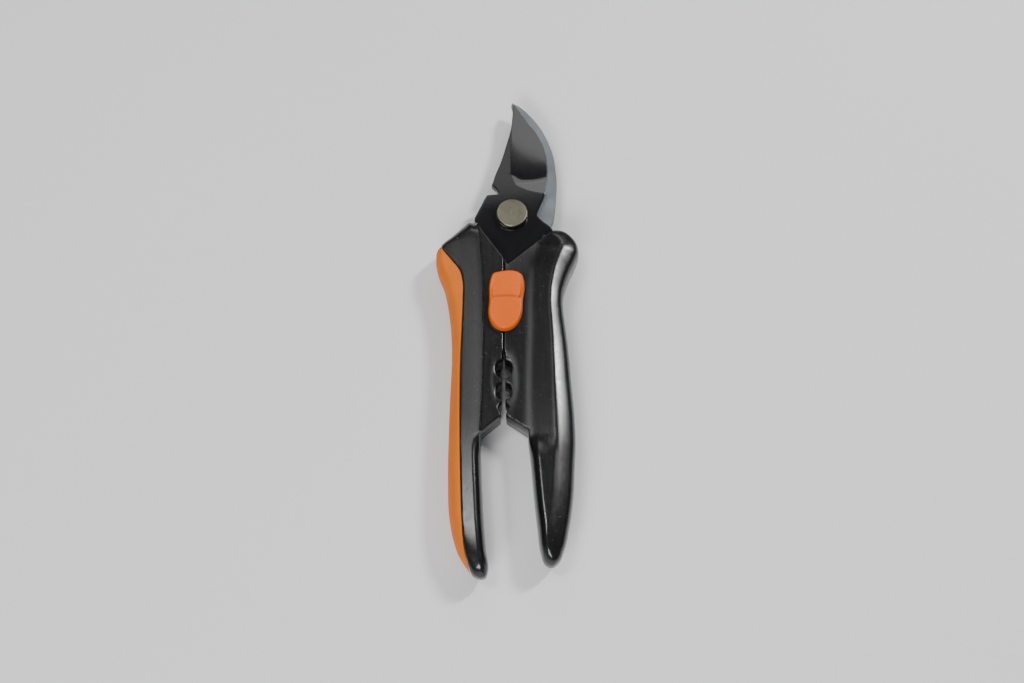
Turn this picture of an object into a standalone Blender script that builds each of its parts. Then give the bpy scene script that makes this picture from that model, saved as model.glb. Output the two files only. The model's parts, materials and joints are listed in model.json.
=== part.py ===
"""Floral snips: a bypass cutting head on two moulded handles with a sliding thumb lock.

Plan dimensions are millimetres measured from the pivot axis, +Y towards the blade tip.
Heights are millimetres from the plane where the two blades slide on each other.
"""

import math

import bmesh
import bpy
from mathutils import Matrix, Vector

MM = 0.001
GAP = 0.3                      # clearance left between touching pieces

# where the pivot stands in the object's frame
PIVOT = (1.75, 41.86, 8.5)

# heights
HALF_DEPTH = 8.5               # handle, either side of the blade plane
WEB_HALF = 5.5                 # thinner web between the handle bars
PARTING = 0.15                 # half the gap between the two shells
BLADE_THICK = 2.5
HOOK_THICK = 3.0
BLADE_TOP = PARTING + BLADE_THICK
HOOK_BACK = -PARTING - HOOK_THICK
EDGE_ROUND = 3.0               # rounding of the handle bars

# pivot
BOLT_HEAD_R = 6.0
BOLT_HEAD_H = 2.1
BOLT_SHANK_R = 3.0
PLATE_POCKET_R = 17.5

# fasteners
PIN_R = 1.5
PIN_HALF = 5.0
SCREW_HEAD_R = 2.2
SCREW_SHANK_R = 1.1
SCREW_HEAD = (-7.4, -5.7)
SCREW_TOP = 4.2

# return spring, lying across the handles
SPRING_Y = -52.2
SPRING_X = (-11.2, 8.2)
SPRING_R = 2.85
SPRING_WIRE_R = 0.45
SPRING_TURNS = 8

# thumb lock: forwards and backwards travel, and its sliding block
LOCK_FORWARD = 2.5
LOCK_BACK = 3.5
CORE_X = (-1.0, 2.5)
CORE_Y = (-41.0, -33.2)
CORE_HALF = 6.3
TONGUE_HALF = 1.3
CATCH = (-5.6, -31.6)
CATCH_R = 1.3

HOOK_PINS = [(-14.9, -38.0), (-14.9, -64.0)]
BLADE_PINS = [(12.5, -38.0), (12.7, -64.0)]
HOOK_SCREWS = [(-20.6, -16.6), (-14.6, -84.0), (-12.8, -124.0)]
BLADE_SCREWS = [(20.2, -15.4), (14.0, -86.0), (14.0, -120.0)]

CUTTING_BLADE = [
    (0.6, 51.9), (1.4, 50.6), (2.7, 48.6), (6.3, 43.1), (9.6, 38.7), (12.2, 33.2), (13.7, 27.1),
    (14.1, 22.0), (14.0, 17.0), (13.6, 13.1), (13.0, 9.9), (12.2, 7.0), (11.2, 4.6), (9.6, 0.2),
    (11.5, -2.0), (14.2, -4.4), (16.3, -7.5), (16.9, -12.0), (16.4, -18.0), (15.7, -26.0),
    (15.4, -36.0), (15.5, -48.0), (15.7, -70.5), (14.2, -72.0), (11.4, -72.0), (10.0, -70.5),
    (9.6, -48.0), (9.5, -36.0), (8.8, -31.0), (5.5, -28.2), (1.5, -26.6), (-4.4, -24.6),
    (-4.9, -20.0), (-7.4, -13.2), (-10.4, -10.2), (-13.0, -6.4), (-14.4, -2.6), (-14.3, -0.9),
    (-10.8, 7.0), (-9.7, 9.0), (-5.3, 9.5), (-6.1, 11.4), (-7.9, 13.3), (-6.25, 18.9),
    (-4.8, 22.7), (-2.4, 31.2), (-0.4, 39.6), (0.2, 46.5),
]

HOOK_BLADE = [
    (0.0, 53.5), (3.0, 51.7), (7.3, 47.2), (11.3, 41.5), (15.1, 32.6), (16.6, 27.0), (17.2, 21.3),
    (17.5, 15.0), (17.2, 9.3), (16.8, 4.0), (16.2, 0.0), (14.9, -4.0), (13.6, -7.2),
    (11.6, -10.3), (8.6, -12.9), (2.2, -19.5), (1.8, -22.8), (-4.0, -25.6), (-8.5, -28.2),
    (-11.8, -31.4), (-12.6, -36.0), (-12.7, -70.0), (-13.6, -71.6), (-16.3, -71.6),
    (-17.2, -70.0), (-17.0, -48.0), (-16.9, -36.0), (-17.4, -28.0), (-18.3, -20.0),
    (-18.4, -14.0), (-17.4, -8.5), (-14.6, -5.2), (-13.2, -2.0), (-12.4, 0.5), (-9.8, 6.0),
    (-8.4, 7.8), (-4.6, 8.4), (0.0, 8.8), (5.5, 10.0), (8.6, 13.0), (10.2, 18.0), (10.6, 23.0),
    (10.0, 28.5), (8.4, 34.0), (5.6, 40.0), (2.6, 45.0), (0.9, 48.0), (-0.3, 52.0),
]

# flat top of each handle bar; the rounded edge swells out from it by EDGE_ROUND
HOOK_BAR = [
    (-16.0, -7.3), (-16.9, -8.0), (-20.7, -11.6), (-24.5, -15.2), (-25.6, -16.6), (-25.8, -18.5),
    (-25.0, -23.3), (-22.6, -29.6), (-21.1, -35.8), (-20.0, -42.3), (-19.2, -50.2),
    (-18.9, -58.4), (-19.4, -88.6), (-19.3, -103.0), (-18.4, -116.7), (-17.2, -123.1),
    (-15.3, -127.9), (-12.8, -131.8), (-11.4, -134.0), (-11.0, -133.6), (-12.7, -117.2),
    (-13.7, -99.0), (-14.0, -88.1), (-13.7, -75.9), (-13.5, -60.0), (-13.5, -36.1),
    (-13.9, -26.2), (-14.6, -16.3), (-15.3, -8.8),
]
BLADE_BAR = [
    (16.7, -10.3), (15.6, -10.6), (14.7, -11.3), (11.9, -14.9), (10.2, -20.6), (9.4, -28.2),
    (9.2, -37.0), (9.1, -50.0), (8.8, -61.1), (8.6, -76.0), (8.7, -85.9), (10.6, -109.8),
    (11.7, -120.2), (12.5, -127.6), (13.2, -130.4), (13.9, -130.4), (14.7, -127.3),
    (16.6, -119.9), (18.1, -109.8), (19.2, -98.0), (19.4, -90.9), (19.3, -82.8), (19.0, -76.2),
    (18.4, -68.6), (17.5, -54.8), (16.2, -42.0), (16.0, -37.0), (16.5, -32.1), (17.4, -28.9),
    (19.1, -24.2), (21.1, -19.7), (22.2, -16.7), (21.9, -14.4), (20.5, -12.1), (18.3, -10.5),
]

# webs between the bars, with half of each stem notch in their meeting edges
MEETING_X = -3.0
NOTCHES = [
    (0.15, -56.6), (0.4, -57.2), (0.45, -60.0), (2.35, -61.3), (2.9, -63.6), (2.35, -65.9),
    (0.6, -67.4), (0.6, -68.7), (2.4, -69.8), (2.7, -72.0), (2.4, -74.3), (0.6, -75.3),
    (0.7, -75.9), (1.95, -78.0), (0.9, -80.6), (1.2, -81.4), (6.6, -86.2),
]
HOOK_WEB = (
    [(-14.6, -12.0), (-14.2, -4.6), (-13.6, -4.2), (-3.15, -19.2)]
    + [(MEETING_X - half, y) for half, y in NOTCHES]
    + [(-12.6, -88.6), (-13.4, -86.0), (-13.0, -60.0), (-13.0, -36.0)]
)
BLADE_WEB = (
    [(13.2, -12.0), (12.45, -9.2), (-1.5, -21.6), (-2.85, -19.7)]
    + [(MEETING_X + half, y) for half, y in NOTCHES]
    + [(5.7, -87.8), (8.0, -89.0), (9.0, -84.0), (9.0, -60.0), (9.4, -36.0), (10.4, -20.0)]
)

# line where the soft grip meets the hard shell, and the shell's outer side beyond it
GRIP_LINE = [
    (-27.4, -12.6), (-26.3, -15.7), (-22.4, -21.1), (-19.3, -25.6), (-18.2, -29.8),
    (-18.0, -36.7), (-18.2, -48.7), (-18.5, -60.3), (-18.4, -75.5), (-18.1, -90.1),
    (-17.6, -104.3), (-16.9, -118.1), (-15.8, -128.4), (-14.9, -132.0), (-13.8, -136.6),
]
GRIP_KEY = 1.6                 # how far the grip's inner rib reaches in between the shells
RIB = (0.2, 1.8)

THUMB_PAD = [
    (-6.6, -27.4), (-4.3, -26.7), (-1.5, -26.4), (1.8, -26.9), (3.0, -27.6), (3.6, -29.2),
    (3.1, -38.0), (2.7, -43.4), (1.8, -45.7), (0.0, -47.8), (-2.6, -48.7), (-5.2, -47.9),
    (-7.1, -45.7), (-7.8, -43.2), (-7.6, -38.0), (-7.2, -29.0),
]
PAD_ROUND = 0.8
PAD_HEIGHTS = (5.8, 8.2)
PAD_DISH = [
    (-6.9, -37.1), (-4.6, -36.6), (-2.2, -36.5), (0.2, -36.6), (2.7, -37.1), (3.0, -30.0),
    (1.8, -28.0), (-1.5, -27.4), (-4.8, -27.8), (-6.3, -29.6),
]
LATCH = [
    (-9.4, -38.6), (-0.5, -38.6), (-0.5, -35.8), (-7.2, -35.8), (-7.2, -33.3), (-9.4, -33.3),
]


def collection(name):
    made = bpy.data.collections.new(name)
    bpy.context.scene.collection.children.link(made)
    return made


def material(name, colour, metallic, roughness):
    made = bpy.data.materials.new(name)
    made.use_nodes = True
    shader = made.node_tree.nodes["Principled BSDF"]
    shader.inputs["Base Color"].default_value = (*colour, 1.0)
    shader.inputs["Metallic"].default_value = metallic
    shader.inputs["Roughness"].default_value = roughness
    return made


def to_mesh(item, face_out=True):
    """Turn a curve or a modified object into a plain welded mesh object in the workshop."""
    bpy.context.view_layer.update()
    graph = bpy.context.evaluated_depsgraph_get()
    mesh = bpy.data.meshes.new_from_object(item.evaluated_get(graph))
    mesh.transform(item.matrix_world)
    name = item.name
    bpy.data.objects.remove(item)
    work = bmesh.new()
    work.from_mesh(mesh)
    bmesh.ops.remove_doubles(work, verts=work.verts, dist=0.00001)
    if face_out:
        bmesh.ops.recalc_face_normals(work, faces=work.faces)
    work.to_mesh(mesh)
    work.free()
    made = bpy.data.objects.new(name, mesh)
    workshop.objects.link(made)
    return made


def plan(name, points, low, high, rounding=0.0, smooth=False):
    """A solid with the given plan outline; rounding swells out past the outline."""
    curve = bpy.data.curves.new(name, "CURVE")
    curve.dimensions = "2D"
    curve.fill_mode = "BOTH"
    curve.extrude = ((high - low) / 2 - rounding) * MM
    curve.bevel_depth = rounding * MM
    curve.bevel_resolution = 2
    if smooth:
        curve.resolution_u = 3
        spline = curve.splines.new("BEZIER")
        spline.bezier_points.add(len(points) - 1)
        for knot, (x, y) in zip(spline.bezier_points, points):
            knot.co = (x * MM, y * MM, 0.0)
            knot.handle_left_type = knot.handle_right_type = "AUTO"
    else:
        spline = curve.splines.new("POLY")
        spline.points.add(len(points) - 1)
        for knot, (x, y) in zip(spline.points, points):
            knot.co = (x * MM, y * MM, 0.0, 1.0)
    spline.use_cyclic_u = True
    item = bpy.data.objects.new(name, curve)
    item.location.z = (low + high) / 2 * MM
    workshop.objects.link(item)
    return to_mesh(item)


def from_bmesh(name, work):
    mesh = bpy.data.meshes.new(name)
    work.to_mesh(mesh)
    work.free()
    made = bpy.data.objects.new(name, mesh)
    workshop.objects.link(made)
    return made


def box(name, x, y, z):
    work = bmesh.new()
    spans = [(pair[1] - pair[0]) * MM for pair in (x, y, z)]
    centre = Vector([(pair[1] + pair[0]) / 2 * MM for pair in (x, y, z)])
    matrix = Matrix.Translation(centre) @ Matrix.Diagonal((*spans, 1.0))
    bmesh.ops.create_cube(work, size=1.0, matrix=matrix)
    return from_bmesh(name, work)


def rod(name, centre, radius, low, high, along="Z", sides=24):
    """A round bar: centre is the pair of coordinates across its length."""
    work = bmesh.new()
    middle = (low + high) / 2
    if along == "Z":
        matrix = Matrix.Translation(Vector((centre[0], centre[1], middle)) * MM)
    else:
        matrix = Matrix.Translation(Vector((middle, centre[0], centre[1])) * MM)
        matrix = matrix @ Matrix.Rotation(math.pi / 2, 4, "Y")
    bmesh.ops.create_cone(work, cap_ends=True, segments=sides, radius1=radius * MM,
                          radius2=radius * MM, depth=(high - low) * MM, matrix=matrix)
    return from_bmesh(name, work)


def turned(name, profile, centre=(0.0, 0.0), sides=32):
    """A turned piece: profile of (radius, height) from its top down, closed on the axis."""
    mesh = bpy.data.meshes.new(name)
    verts = [(radius * MM, 0.0, height * MM) for radius, height in profile]
    mesh.from_pydata(verts, [(i, i + 1) for i in range(len(verts) - 1)], [])
    item = bpy.data.objects.new(name, mesh)
    item.location = (centre[0] * MM, centre[1] * MM, 0.0)
    workshop.objects.link(item)
    spin = item.modifiers.new("turn", "SCREW")
    spin.steps = spin.render_steps = sides
    spin.use_merge_vertices = True
    spin.merge_threshold = 0.00001
    return to_mesh(item)


def carve(target, tool, operation="DIFFERENCE"):
    """Cut, join or trim one solid with another and use the tool up."""
    change = target.modifiers.new("carve", "BOOLEAN")
    change.operation = operation
    change.solver = "EXACT"
    change.object = tool
    name = target.name
    target.name = name + "_before"
    made = to_mesh(target, face_out=False)
    made.name = name
    bpy.data.objects.remove(tool)
    return made


def finish(item, parent, finish_material, round_piece=False):
    """Move a finished solid to its parent frame and give it its material."""
    workshop.objects.unlink(item)
    snips.objects.link(item)
    item.parent = parent
    item.data.materials.clear()
    item.data.materials.append(finish_material)
    if round_piece:
        for face in item.data.polygons:
            face.use_smooth = True
    return item


def frame(name, parent=None):
    made = bpy.data.objects.new(name, None)
    made.empty_display_size = 0.01
    snips.objects.link(made)
    if parent:
        made.parent = parent
    else:
        made.location = Vector(PIVOT) * MM
    return made


def offset_line(points, distance):
    """Shift an open line sideways, to the right of its direction when the distance is negative."""
    moved = []
    for i, point in enumerate(points):
        before = Vector(points[max(i - 1, 0)])
        after = Vector(points[min(i + 1, len(points) - 1)])
        along = (after - before).normalized()
        side = Vector((-along.y, along.x))
        shifted = Vector(point) + side * distance
        moved.append((shifted.x, shifted.y))
    return moved


def grip_side(distance, low, high):
    """Everything on the grip's side of the shifted grip line."""
    line = offset_line(GRIP_LINE, distance)
    beyond = [(-34.0, line[-1][1] - 4.0), (-34.0, 0.0), (line[0][0], 0.0)]
    return plan("grip_side", line + beyond, low, high)


def swollen(name, points, low, high):
    """The pocket for a plate: its outline grown by the clearance."""
    return plan(name, points, low, high, rounding=GAP)


def shell(name, bar, web, upper, cutters):
    solid = plan(name, bar, -HALF_DEPTH, HALF_DEPTH, EDGE_ROUND, smooth=True)
    solid = carve(solid, plan("web", web, -WEB_HALF, WEB_HALF), "UNION")
    span = (PARTING, 20.0) if upper else (-20.0, -PARTING)
    solid = carve(solid, box("half", (-60, 60), (-160, 60), span), "INTERSECT")
    for make, *values in cutters:
        solid = carve(solid, make("cutter", *values))
    return solid


for old in list(bpy.data.objects):
    bpy.data.objects.remove(old)

workshop = collection("workshop")
snips = collection("floral_snips")

hook_frame = frame("hook_frame")
blade_frame = frame("blade_frame")
lock_frame = frame("lock_frame", blade_frame)

black_plastic = material("black_handle_plastic", (0.02, 0.02, 0.022), 0.0, 0.42)
soft_rubber = material("orange_soft_grip", (0.55, 0.16, 0.02), 0.0, 0.65)
lock_plastic = material("orange_lock_plastic", (0.75, 0.18, 0.03), 0.0, 0.38)
coated_steel = material("black_coated_steel", (0.02, 0.02, 0.022), 0.3, 0.18)
satin_steel = material("satin_steel", (0.35, 0.37, 0.38), 1.0, 0.35)
bolt_steel = material("bolt_steel", (0.36, 0.34, 0.28), 1.0, 0.38)
pin_steel = material("pin_steel", (0.45, 0.45, 0.46), 1.0, 0.30)
screw_steel = material("screw_steel", (0.30, 0.30, 0.31), 1.0, 0.35)
spring_steel = material("spring_steel", (0.50, 0.50, 0.50), 1.0, 0.25)
latch_steel = material("latch_steel", (0.25, 0.25, 0.26), 1.0, 0.40)

# the two blades, each one plate with a tang that runs down inside its handle
cutting_blade = plan("cutting_blade", CUTTING_BLADE, PARTING, BLADE_TOP)
hook_blade = plan("hook_blade", HOOK_BLADE, HOOK_BACK, -PARTING)
for pin in BLADE_PINS:
    cutting_blade = carve(cutting_blade, rod("hole", pin, PIN_R + GAP, -9, 9))
for pin in HOOK_PINS:
    hook_blade = carve(hook_blade, rod("hole", pin, PIN_R + GAP, -9, 9))
cutting_blade = carve(cutting_blade, rod("bore", (0, 0), BOLT_SHANK_R + GAP, -9, 9, sides=32))
hook_blade = carve(hook_blade, rod("bore", (0, 0), BOLT_SHANK_R + GAP, -9, 9, sides=32))
finish(cutting_blade, blade_frame, coated_steel)
finish(hook_blade, hook_frame, satin_steel)

# pockets shared by both shells of both handles
plate_pocket = (rod, (0, 0), PLATE_POCKET_R, HOOK_BACK - GAP, BLADE_TOP + GAP, "Z", 48)
spring_pocket = (rod, (SPRING_Y, 0), SPRING_R + SPRING_WIRE_R + 2 * GAP,
                 SPRING_X[0] - GAP, SPRING_X[1] + GAP, "X", 24)


def pin_holes(places):
    return [(rod, place, PIN_R + GAP, -PIN_HALF - GAP, PIN_HALF + GAP) for place in places]


def screw_holes(places):
    bores = [(rod, place, SCREW_SHANK_R + GAP, -9.0, SCREW_TOP + GAP) for place in places]
    wells = [(rod, place, SCREW_HEAD_R + GAP, -9.0, SCREW_HEAD[1] + GAP) for place in places]
    return bores + wells


hook_pockets = [
    plate_pocket, spring_pocket,
    (lambda name: box(name, (-9.8, 0.0), (-43.7, -30.2), (-1.6, 1.6)),),
    (rod, CATCH, CATCH_R + GAP, -4.3, 4.3),
    (lambda name: grip_side(GAP, -12.0, 12.0),),
    (lambda name: grip_side(GRIP_KEY + GAP, 0.0, RIB[1] + GAP),),
] + pin_holes(HOOK_PINS) + screw_holes(HOOK_SCREWS)
blade_sweep = [
    (-7.9, -12.0), (-7.9, -14.5), (-6.6, -17.5), (-5.6, -20.0), (-5.2, -24.8), (-3.8, -25.6),
    (-2.0, -25.8), (-2.0, -12.0),
]
hook_front = shell("hook_handle_front", HOOK_BAR, HOOK_WEB, True,
                   hook_pockets + [(plan, blade_sweep, -1.0, BLADE_TOP + GAP)])
hook_back = shell("hook_handle_back", HOOK_BAR, HOOK_WEB, False,
                  hook_pockets + [(swollen, HOOK_BLADE, HOOK_BACK - GAP, 1.0)])
finish(hook_front, hook_frame, black_plastic)
finish(hook_back, hook_frame, black_plastic)

blade_pockets = [
    plate_pocket, spring_pocket,
    (lambda name: box(name, (CORE_X[0] - GAP, CORE_X[1] + GAP),
                      (CORE_Y[0] - LOCK_BACK - GAP, CORE_Y[1] + LOCK_FORWARD + GAP), (-12, 12)),),
    (lambda name: box(name, (-6.0, -0.5), (-42.4, -33.0), (-1.6, 1.6)),),
] + pin_holes(BLADE_PINS) + screw_holes(BLADE_SCREWS)
hook_sweep = [(-6.0, -12.0), (6.5, -14.0), (5.6, -17.0), (2.8, -20.0), (2.4, -23.4), (-6.0, -26.5)]
blade_front = shell("blade_handle_front", BLADE_BAR, BLADE_WEB, True,
                    blade_pockets + [(swollen, CUTTING_BLADE, -1.0, BLADE_TOP + GAP)])
blade_back = shell("blade_handle_back", BLADE_BAR, BLADE_WEB, False,
                   blade_pockets + [(plan, hook_sweep, HOOK_BACK - GAP, 1.0)])
finish(blade_front, blade_frame, black_plastic)
finish(blade_back, blade_frame, black_plastic)

# soft grip along the hook handle: the bar's outer side, with a rib held between the shells
grip = plan("soft_grip", HOOK_BAR, -HALF_DEPTH, HALF_DEPTH, EDGE_ROUND, smooth=True)
grip = carve(grip, grip_side(0.0, -12.0, 12.0), "INTERSECT")
rib_line = offset_line(GRIP_LINE[2:-2], GRIP_KEY)
rib = plan("rib", rib_line + offset_line(GRIP_LINE[2:-2], -1.2)[::-1], *RIB)
finish(carve(grip, rib, "UNION"), hook_frame, soft_rubber)

# pivot bolt through both plates, with a washer and a nut behind
head = (BLADE_TOP + GAP, BLADE_TOP + GAP + BOLT_HEAD_H)
bolt_end = -7.9
bolt = turned("pivot_bolt", [
    (0.0, head[1]), (BOLT_HEAD_R - 0.4, head[1]), (BOLT_HEAD_R, head[1] - 0.4),
    (BOLT_HEAD_R, head[0]), (BOLT_SHANK_R, head[0]), (BOLT_SHANK_R, bolt_end + 0.5),
    (BOLT_SHANK_R - 0.5, bolt_end), (0.0, bolt_end)])
finish(bolt, hook_frame, bolt_steel, round_piece=True)

washer_top = HOOK_BACK - GAP
washer = rod("pivot_washer", (0, 0), 5.6, washer_top - 0.8, washer_top, sides=32)
washer = carve(washer, rod("bore", (0, 0), BOLT_SHANK_R + GAP, -9, 9, sides=32))
finish(washer, hook_frame, pin_steel, round_piece=True)

nut_top = washer_top - 0.8 - GAP
nut = rod("pivot_nut", (0, 0), 5.8, nut_top - 2.9, nut_top, sides=6)
nut = carve(nut, rod("bore", (0, 0), BOLT_SHANK_R + GAP, -9, 9, sides=32))
finish(nut, hook_frame, bolt_steel)

# dowel pins through the tangs and the catch the lock hooks behind
for side, places, parent in (("hook", HOOK_PINS, hook_frame), ("blade", BLADE_PINS, blade_frame)):
    for number, place in enumerate(places, 1):
        pin = rod(f"{side}_tang_pin_{number}", place, PIN_R, -PIN_HALF, PIN_HALF)
        finish(pin, parent, pin_steel, round_piece=True)
catch = rod("catch_pin", CATCH, CATCH_R, -4.0, 4.0)
finish(catch, hook_frame, pin_steel, round_piece=True)

# shell screws, driven from the back
socket = SCREW_HEAD[0] + 0.9
for side, places, parent in (("hook", HOOK_SCREWS, hook_frame),
                             ("blade", BLADE_SCREWS, blade_frame)):
    for number, place in enumerate(places, 1):
        screw = turned(f"{side}_screw_{number}", [
            (0.0, SCREW_TOP), (SCREW_SHANK_R - 0.4, SCREW_TOP), (SCREW_SHANK_R, SCREW_TOP - 0.8),
            (SCREW_SHANK_R, SCREW_HEAD[1]), (SCREW_HEAD_R, SCREW_HEAD[1]),
            (SCREW_HEAD_R, SCREW_HEAD[0] + 0.4), (SCREW_HEAD_R - 0.4, SCREW_HEAD[0]),
            (1.0, SCREW_HEAD[0]), (0.7, socket), (0.0, socket)], place, sides=20)
        finish(screw, parent, screw_steel, round_piece=True)

# return spring lying across the gap, one end in each handle
coil = bpy.data.curves.new("return_spring", "CURVE")
coil.dimensions = "3D"
coil.bevel_depth = SPRING_WIRE_R * MM
coil.bevel_resolution = 2
coil.use_fill_caps = True
per_turn = 12
count = SPRING_TURNS * per_turn
ends = 1.0                     # turns lying flat at each end
wire = coil.splines.new("POLY")
wire.points.add(count)
first = SPRING_X[0] + SPRING_WIRE_R
last = SPRING_X[1] - SPRING_WIRE_R
pitch_flat = 2 * SPRING_WIRE_R + 0.15
for i in range(count + 1):
    turn = i / per_turn
    inner = min(max(turn - ends, 0.0), SPRING_TURNS - 2 * ends)
    flat = (turn - inner) * pitch_flat
    reach = last - first - 2 * ends * pitch_flat
    x = first + flat + inner / (SPRING_TURNS - 2 * ends) * reach
    angle = 2 * math.pi * turn
    wire.points[i].co = (x * MM, (SPRING_Y + SPRING_R * math.cos(angle)) * MM,
                         SPRING_R * math.sin(angle) * MM, 1.0)
spring = bpy.data.objects.new("return_spring", coil)
workshop.objects.link(spring)
finish(to_mesh(spring), hook_frame, spring_steel, round_piece=True)

# thumb lock: a block that slides in the blade handle's web, its hooked tongue, and two pads
core = box("lock_latch", CORE_X, CORE_Y, (-CORE_HALF, CORE_HALF))
tongue = plan("tongue", LATCH, -TONGUE_HALF, TONGUE_HALF)
finish(carve(core, tongue, "UNION"), lock_frame, latch_steel)

low, high = PAD_HEIGHTS
for name, flip in (("lock_pad_front", 1), ("lock_pad_back", -1)):
    pad = plan(name, THUMB_PAD, low, high, PAD_ROUND, smooth=True)
    pad = carve(pad, plan("dish", PAD_DISH, high - 0.6, high + 2))
    pad = carve(pad, box("seat", (CORE_X[0] - GAP, CORE_X[1] + GAP),
                         (CORE_Y[0] - GAP, CORE_Y[1] + GAP), (low - 2, CORE_HALF + GAP)))
    if flip < 0:
        pad.data.transform(Matrix.Diagonal((1, 1, -1, 1)))
        pad.data.flip_normals()
    finish(pad, lock_frame, lock_plastic)

bpy.data.collections.remove(workshop)
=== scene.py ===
"""Looks of the floral snips: sculpted handles, ground blades, springs and screws around the CAD frame.

Plan points are millimetres from the pivot axis, +Y to the blade tip; heights are millimetres
from the plane where the blades slide on each other.
"""

import json
import math

import bmesh
import bpy
import numpy as np
from mathutils import Matrix, Vector, geometry


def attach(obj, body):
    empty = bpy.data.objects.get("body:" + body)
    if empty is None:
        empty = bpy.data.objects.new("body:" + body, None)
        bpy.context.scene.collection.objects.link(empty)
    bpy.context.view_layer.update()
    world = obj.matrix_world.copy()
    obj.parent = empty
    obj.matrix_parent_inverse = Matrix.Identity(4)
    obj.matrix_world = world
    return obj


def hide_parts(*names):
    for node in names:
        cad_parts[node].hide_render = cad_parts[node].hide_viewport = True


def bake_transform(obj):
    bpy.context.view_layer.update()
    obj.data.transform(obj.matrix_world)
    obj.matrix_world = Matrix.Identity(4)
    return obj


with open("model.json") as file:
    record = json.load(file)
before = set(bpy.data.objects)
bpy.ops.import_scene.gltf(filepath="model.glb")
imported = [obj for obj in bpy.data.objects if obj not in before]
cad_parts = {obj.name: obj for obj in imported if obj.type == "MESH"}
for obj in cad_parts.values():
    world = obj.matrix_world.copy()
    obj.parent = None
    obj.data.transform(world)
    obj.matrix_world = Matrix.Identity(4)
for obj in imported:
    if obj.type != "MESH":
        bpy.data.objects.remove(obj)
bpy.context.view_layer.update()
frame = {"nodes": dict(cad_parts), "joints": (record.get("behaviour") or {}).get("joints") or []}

MM = 0.001
JOINTS = {joint["name"]: joint for joint in frame["joints"]}
PIVOT = Vector(JOINTS["pivot_turn"]["pos_m"])

# heights
TOP = 8.5                 # front and back faces of the handles
WEB = 5.5                 # front and back faces of the webs
PARTING = 0.15            # half the gap between the two shells
BLADE_TOP = 2.65
HOOK_BACK = -3.15
GAP = 0.3
SEAM = 0.07               # between the soft grip and the shells it is moulded on

SPRING_Y = -52.2

# ---------------------------------------------------------------- outlines
# a third value of 1 marks a sharp corner; the rest is one smooth line

HOOK_BAR = [
    (-14.4, -4.2), (-16.4, -3.8), (-18.9, -5.9), (-22.8, -9.6), (-26.9, -13.4), (-28.4, -15.6),
    (-28.8, -18.6), (-27.9, -24.1), (-25.5, -30.3), (-24.0, -36.5), (-23.0, -42.6),
    (-22.2, -50.5), (-21.9, -58.4), (-22.0, -66.0), (-22.2, -73.8), (-22.4, -88.6),
    (-22.3, -103.1), (-21.4, -117.1), (-20.0, -123.9), (-18.0, -129.3), (-15.2, -133.6),
    (-12.6, -136.4), (-10.6, -137.1), (-8.8, -136.6), (-8.1, -134.8), (-8.8, -127.3),
    (-9.7, -117.0), (-10.2, -108.0), (-10.7, -98.8), (-11.0, -88.0), (-10.7, -76.0),
    (-10.5, -60.0), (-10.5, -36.0), (-10.9, -26.0), (-11.6, -16.0), (-12.6, -8.0),
]
BLADE_BAR = [
    (12.8, -9.3), (14.2, -8.0), (16.5, -7.3), (19.5, -7.7), (22.7, -10.1), (24.8, -13.4),
    (25.2, -17.0), (23.9, -20.8), (21.9, -25.2), (20.3, -29.7), (19.45, -32.8), (19.0, -37.3),
    (19.2, -41.7), (19.7, -46.6), (20.5, -54.5), (21.4, -68.4), (22.3, -82.75), (22.4, -91.0),
    (21.9, -98.8), (21.1, -110.1), (19.5, -120.5), (17.6, -128.0), (15.6, -131.9),
    (13.1, -133.2), (11.1, -132.0), (9.7, -128.3), (8.7, -120.5), (7.6, -110.1), (6.7, -98.8),
    (5.8, -88.0), (5.6, -76.0), (5.8, -61.0), (6.1, -50.0), (6.2, -37.0), (6.5, -28.0),
    (7.4, -20.0), (9.6, -13.5),
]
MEETING_X = -3.0
NOTCHES = [
    (0.15, -56.6, 1), (0.4, -57.3), (0.45, -60.0, 1), (2.2, -61.1), (2.9, -63.6), (2.2, -66.1),
    (0.6, -67.4, 1), (0.6, -68.7, 1), (2.25, -69.75), (2.7, -72.0), (2.25, -74.3),
    (0.6, -75.3, 1), (0.7, -75.9, 1), (1.95, -78.0, 1), (0.9, -80.6, 1), (1.2, -81.4, 1),
]
GRIP_LINE = [
    (-27.1, -13.7), (-26.2, -15.9), (-22.4, -21.1), (-19.3, -25.6), (-18.2, -29.8),
    (-18.0, -36.7), (-18.2, -48.7), (-18.5, -60.3), (-18.4, -75.5), (-18.1, -90.1),
    (-17.6, -104.3), (-16.9, -118.1), (-15.8, -128.4), (-14.9, -132.0), (-14.0, -135.2),
]

MOUTH = [(12.6, -9.3), (-1.5, -21.6)]    # the right shell's edge beside the blades

# places in the bar lines, by number
HOOK_BUTT = 22
BLADE_BUTT = 23
THROAT = 29
GRIP_RUN = slice(4, 21)


def corner(x, y):
    return (x, y, 1)


HOOK_SHELL = (
    [corner(-13.9, -3.9), corner(-3.15, -19.2)]
    + [(MEETING_X - half, y, *mark) for half, y, *mark in NOTCHES]
    + [corner(-10.9, -87.0)]
    + HOOK_BAR[THROAT:HOOK_BUTT:-1]
    + [corner(-10.6, -137.1), corner(-12.9, -136.2), corner(-13.6, -135.3)]
    + [(x + SEAM, y) for x, y in GRIP_LINE[-2:0:-1]]
    + [corner(-26.9, -13.5), (-22.8, -9.6), (-18.9, -5.9), (-16.4, -3.8)]
)
BLADE_SHELL = (
    [corner(*MOUTH[0]), corner(*MOUTH[1]), corner(-2.85, -19.7)]
    + [(MEETING_X + half, y, *mark) for half, y, *mark in NOTCHES]
    + [corner(5.75, -86.4)]
    + BLADE_BAR[THROAT:0:-1]
)
SOFT_GRIP = (
    [corner(*GRIP_LINE[0])] + HOOK_BAR[GRIP_RUN] + [corner(*GRIP_LINE[-1])] + GRIP_LINE[-2:0:-1]
)
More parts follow.
